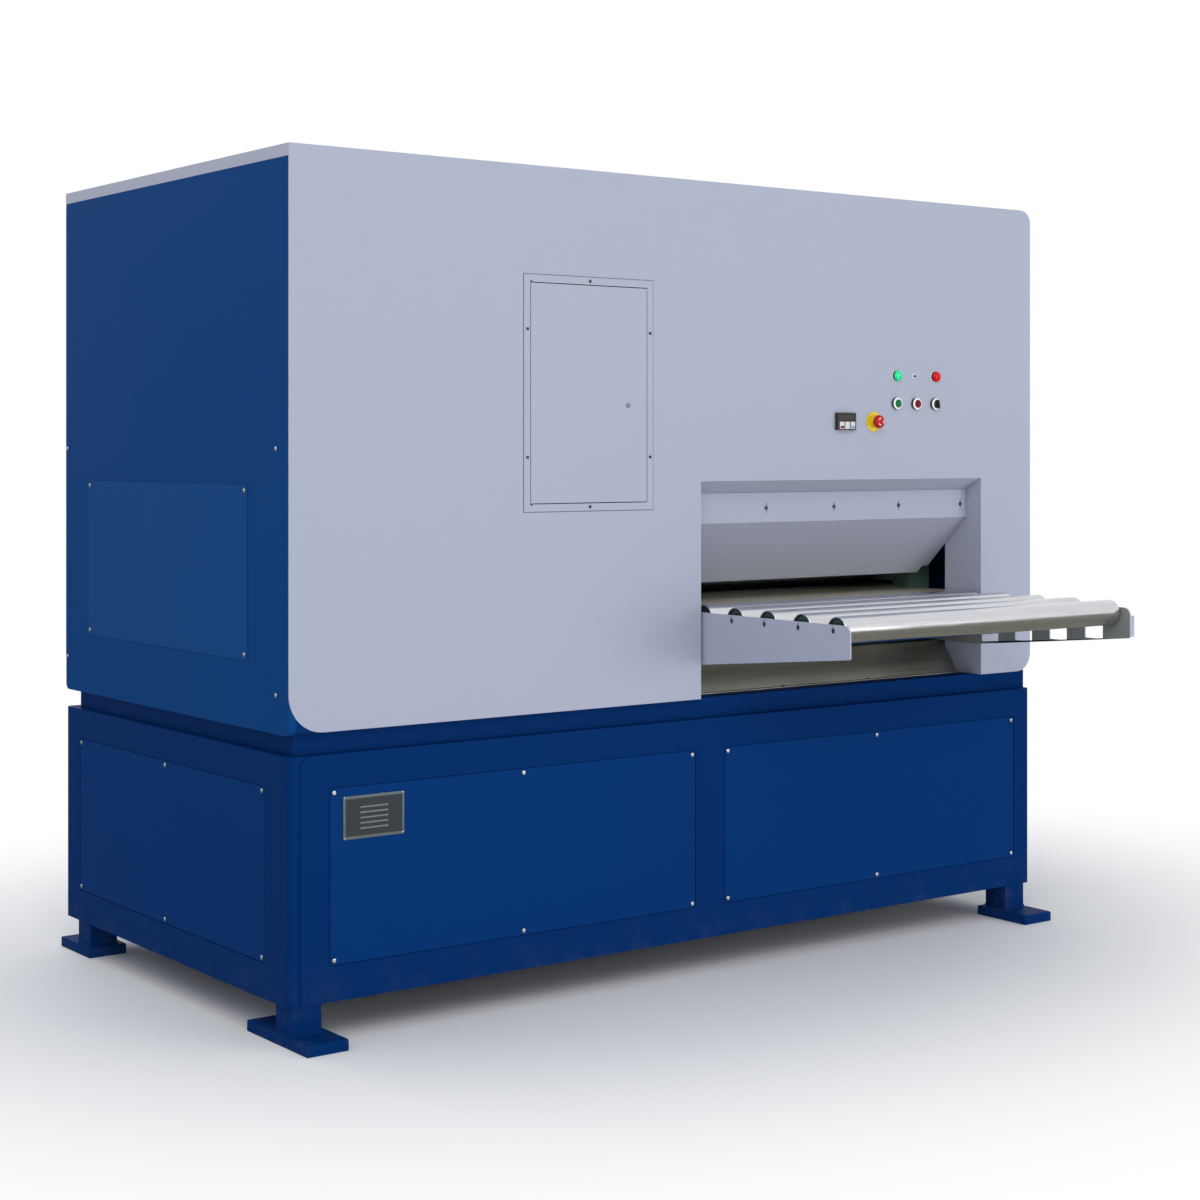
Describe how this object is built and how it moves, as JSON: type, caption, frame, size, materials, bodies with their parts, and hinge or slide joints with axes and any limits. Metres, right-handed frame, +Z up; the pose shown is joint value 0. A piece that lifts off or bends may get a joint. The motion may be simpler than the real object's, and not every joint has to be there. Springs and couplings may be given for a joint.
{
  "type": "roller leveling machine",
  "caption": "Cabinet roller leveller on a raised base, with an idler table at the infeed, driven levelling rolls and an adjustable upper beam.",
  "frame": {"origin": "on the floor, in the middle of the part's overall box", "axes": "+X along the cabinet's long side to the right as seen from the infeed side, +Y through the machine in the feed direction, +Z up"},
  "size_m": [3.212, 3.096, 2.69],
  "materials": {
    "navy": "satin paint",
    "blue": "satin paint",
    "lavender": "satin paint",
    "machine_green": "satin paint",
    "steel": "bright",
    "bare_steel": "brushed",
    "galvanised": "dull",
    "roll_steel": "ground and hard chromed",
    "idler_steel": "chromed tube",
    "cast_iron": "painted casting",
    "black_plastic": "matte",
    "lamp_lens": "translucent green and red",
    "collar_plastic": "white collars, yellow stop ring",
    "green_plastic": "gloss",
    "red_plastic": "gloss",
    "plate_metal": "bare printed field"
  },
  "bodies": {
    "cabinet": {"base_frame": "navy", "foot_pads": "navy", "base_panels": "blue", "panel_screws": "steel", "bed_plate": "navy", "front_cover": "lavender", "left_side_cover": "blue", "right_side_cover": "blue", "top_cover": "lavender", "rear_cover": "lavender", "side_access_panels": "blue", "door_frame": "lavender", "guard_hoods": "lavender", "opening_reveals": "lavender", "steel_guides": "bare_steel", "table_frames": "lavender", "idler_axles": "steel", "roller_stands": "machine_green", "lower_beam": "machine_green", "jack_housings": "cast_iron", "gearbox": "cast_iron", "drive_motor": "blue", "electric_box": "galvanised", "electric_modules": "black_plastic", "indicator_lamps": "lamp_lens", "control_collars": "collar_plastic", "counter_display": "black_plastic", "nameplate": "plate_metal"},
    "door_leaf": {"door_leaf": "lavender"},
    "door_lock": {"door_lock": "steel"},
    "upper_beam": {"upper_beam": "machine_green", "jack_screws": "steel"},
    "drive_coupling": {"drive_coupling": "steel"},
    "start_button": {"start_button": "green_plastic"},
    "stop_button": {"stop_button": "red_plastic"},
    "selector_switch": {"selector_switch": "black_plastic"},
    "estop_button": {"estop_button": "red_plastic"},
    "lower_roll_1": {"lower_roll_1": "roll_steel"},
    "lower_roll_2": {"lower_roll_2": "roll_steel"},
    "lower_roll_3": {"lower_roll_3": "roll_steel"},
    "lower_roll_4": {"lower_roll_4": "roll_steel"},
    "lower_roll_5": {"lower_roll_5": "roll_steel"},
    "lower_roll_6": {"lower_roll_6": "roll_steel"},
    "lower_roll_7": {"lower_roll_7": "roll_steel"},
    "lower_roll_8": {"lower_roll_8": "roll_steel"},
    "upper_roll_1": {"upper_roll_1": "roll_steel"},
    "upper_roll_2": {"upper_roll_2": "roll_steel"},
    "upper_roll_3": {"upper_roll_3": "roll_steel"},
    "upper_roll_4": {"upper_roll_4": "roll_steel"},
    "upper_roll_5": {"upper_roll_5": "roll_steel"},
    "upper_roll_6": {"upper_roll_6": "roll_steel"},
    "upper_roll_7": {"upper_roll_7": "roll_steel"},
    "infeed_idler_1": {"infeed_idler_1": "idler_steel"},
    "infeed_idler_2": {"infeed_idler_2": "idler_steel"},
    "infeed_idler_3": {"infeed_idler_3": "idler_steel"},
    "infeed_idler_4": {"infeed_idler_4": "idler_steel"},
    "infeed_idler_5": {"infeed_idler_5": "idler_steel"},
    "outfeed_idler_1": {"outfeed_idler_1": "idler_steel"},
    "outfeed_idler_2": {"outfeed_idler_2": "idler_steel"},
    "outfeed_idler_3": {"outfeed_idler_3": "idler_steel"}
  },
  "joints": [
    {"name": "upper_beam_slide", "type": "slide", "parent": "cabinet", "child": "upper_beam", "axis": [0, 0, 1], "range_m": [-0.014, 0.03]},
    {"name": "lower_roll_1_spin", "type": "hinge", "parent": "cabinet", "child": "lower_roll_1", "pos_m": [0.653, -0.2975, 1.21], "axis": [1, 0, 0], "continuous": true},
    {"name": "lower_roll_2_spin", "type": "hinge", "parent": "cabinet", "child": "lower_roll_2", "pos_m": [0.653, -0.2125, 1.21], "axis": [1, 0, 0], "continuous": true},
    {"name": "lower_roll_3_spin", "type": "hinge", "parent": "cabinet", "child": "lower_roll_3", "pos_m": [0.653, -0.1275, 1.21], "axis": [1, 0, 0], "continuous": true},
    {"name": "lower_roll_4_spin", "type": "hinge", "parent": "cabinet", "child": "lower_roll_4", "pos_m": [0.653, -0.0425, 1.21], "axis": [1, 0, 0], "continuous": true},
    {"name": "lower_roll_5_spin", "type": "hinge", "parent": "cabinet", "child": "lower_roll_5", "pos_m": [0.653, 0.0425, 1.21], "axis": [1, 0, 0], "continuous": true},
    {"name": "lower_roll_6_spin", "type": "hinge", "parent": "cabinet", "child": "lower_roll_6", "pos_m": [0.653, 0.1275, 1.21], "axis": [1, 0, 0], "continuous": true},
    {"name": "lower_roll_7_spin", "type": "hinge", "parent": "cabinet", "child": "lower_roll_7", "pos_m": [0.653, 0.2125, 1.21], "axis": [1, 0, 0], "continuous": true},
    {"name": "lower_roll_8_spin", "type": "hinge", "parent": "cabinet", "child": "lower_roll_8", "pos_m": [0.653, 0.2975, 1.21], "axis": [1, 0, 0], "continuous": true},
    {"name": "upper_roll_1_spin", "type": "hinge", "parent": "upper_beam", "child": "upper_roll_1", "pos_m": [0.653, -0.255, 1.3], "axis": [1, 0, 0], "continuous": true},
    {"name": "upper_roll_2_spin", "type": "hinge", "parent": "upper_beam", "child": "upper_roll_2", "pos_m": [0.653, -0.17, 1.3], "axis": [1, 0, 0], "continuous": true},
    {"name": "upper_roll_3_spin", "type": "hinge", "parent": "upper_beam", "child": "upper_roll_3", "pos_m": [0.653, -0.085, 1.3], "axis": [1, 0, 0], "continuous": true},
    {"name": "upper_roll_4_spin", "type": "hinge", "parent": "upper_beam", "child": "upper_roll_4", "pos_m": [0.653, 0, 1.3], "axis": [1, 0, 0], "continuous": true},
    {"name": "upper_roll_5_spin", "type": "hinge", "parent": "upper_beam", "child": "upper_roll_5", "pos_m": [0.653, 0.085, 1.3], "axis": [1, 0, 0], "continuous": true},
    {"name": "upper_roll_6_spin", "type": "hinge", "parent": "upper_beam", "child": "upper_roll_6", "pos_m": [0.653, 0.17, 1.3], "axis": [1, 0, 0], "continuous": true},
    {"name": "upper_roll_7_spin", "type": "hinge", "parent": "upper_beam", "child": "upper_roll_7", "pos_m": [0.653, 0.255, 1.3], "axis": [1, 0, 0], "continuous": true},
    {"name": "drive_coupling_spin", "type": "hinge", "parent": "cabinet", "child": "drive_coupling", "pos_m": [-0.9725, 0, 1.255], "axis": [1, 0, 0], "continuous": true},
    {"name": "infeed_idler_1_spin", "type": "hinge", "parent": "cabinet", "child": "infeed_idler_1", "pos_m": [0.653, -0.804, 1.2055], "axis": [1, 0, 0], "continuous": true},
    {"name": "infeed_idler_2_spin", "type": "hinge", "parent": "cabinet", "child": "infeed_idler_2", "pos_m": [0.653, -0.97, 1.2055], "axis": [1, 0, 0], "continuous": true},
    {"name": "infeed_idler_3_spin", "type": "hinge", "parent": "cabinet", "child": "infeed_idler_3", "pos_m": [0.653, -1.136, 1.2055], "axis": [1, 0, 0], "continuous": true},
    {"name": "infeed_idler_4_spin", "type": "hinge", "parent": "cabinet", "child": "infeed_idler_4", "pos_m": [0.653, -1.302, 1.2055], "axis": [1, 0, 0], "continuous": true},
    {"name": "infeed_idler_5_spin", "type": "hinge", "parent": "cabinet", "child": "infeed_idler_5", "pos_m": [0.653, -1.468, 1.2055], "axis": [1, 0, 0], "continuous": true},
    {"name": "outfeed_idler_1_spin", "type": "hinge", "parent": "cabinet", "child": "outfeed_idler_1", "pos_m": [0.653, 0.804, 1.2055], "axis": [1, 0, 0], "continuous": true},
    {"name": "outfeed_idler_2_spin", "type": "hinge", "parent": "cabinet", "child": "outfeed_idler_2", "pos_m": [0.653, 1.136, 1.2055], "axis": [1, 0, 0], "continuous": true},
    {"name": "outfeed_idler_3_spin", "type": "hinge", "parent": "cabinet", "child": "outfeed_idler_3", "pos_m": [0.653, 1.468, 1.2055], "axis": [1, 0, 0], "continuous": true},
    {"name": "door_hinge", "type": "hinge", "parent": "cabinet", "child": "door_leaf", "pos_m": [-0.722, -0.822, 1.9595], "axis": [0, 0, -1], "range_deg": [0, 110]},
    {"name": "door_lock_turn", "type": "hinge", "parent": "door_leaf", "child": "door_lock", "pos_m": [-0.337, -0.827, 1.9245], "axis": [0, -1, 0], "range_deg": [0, 90]},
    {"name": "start_press", "type": "slide", "parent": "cabinet", "child": "start_button", "axis": [0, 1, 0], "range_m": [0, 0.004], "stiffness_N_per_m": 500, "springref_m": -0.004},
    {"name": "stop_press", "type": "slide", "parent": "cabinet", "child": "stop_button", "axis": [0, 1, 0], "range_m": [0, 0.004], "stiffness_N_per_m": 500, "springref_m": -0.004},
    {"name": "estop_press", "type": "slide", "parent": "cabinet", "child": "estop_button", "axis": [0, 1, 0], "range_m": [0, 0.006]},
    {"name": "selector_turn", "type": "hinge", "parent": "cabinet", "child": "selector_switch", "pos_m": [1.085, -0.842, 1.945], "axis": [0, 1, 0], "range_deg": [-45, 45]}
  ],
  "couplings": [
    {"joint": "lower_roll_2_spin", "follows": "lower_roll_1_spin", "ratio": 1},
    {"joint": "lower_roll_3_spin", "follows": "lower_roll_1_spin", "ratio": 1},
    {"joint": "lower_roll_4_spin", "follows": "lower_roll_1_spin", "ratio": 1},
    {"joint": "lower_roll_5_spin", "follows": "lower_roll_1_spin", "ratio": 1},
    {"joint": "lower_roll_6_spin", "follows": "lower_roll_1_spin", "ratio": 1},
    {"joint": "lower_roll_7_spin", "follows": "lower_roll_1_spin", "ratio": 1},
    {"joint": "lower_roll_8_spin", "follows": "lower_roll_1_spin", "ratio": 1},
    {"joint": "upper_roll_1_spin", "follows": "lower_roll_1_spin", "ratio": -1},
    {"joint": "upper_roll_2_spin", "follows": "lower_roll_1_spin", "ratio": -1},
    {"joint": "upper_roll_3_spin", "follows": "lower_roll_1_spin", "ratio": -1},
    {"joint": "upper_roll_4_spin", "follows": "lower_roll_1_spin", "ratio": -1},
    {"joint": "upper_roll_5_spin", "follows": "lower_roll_1_spin", "ratio": -1},
    {"joint": "upper_roll_6_spin", "follows": "lower_roll_1_spin", "ratio": -1},
    {"joint": "upper_roll_7_spin", "follows": "lower_roll_1_spin", "ratio": -1},
    {"joint": "drive_coupling_spin", "follows": "lower_roll_1_spin", "ratio": 2}
  ]
}
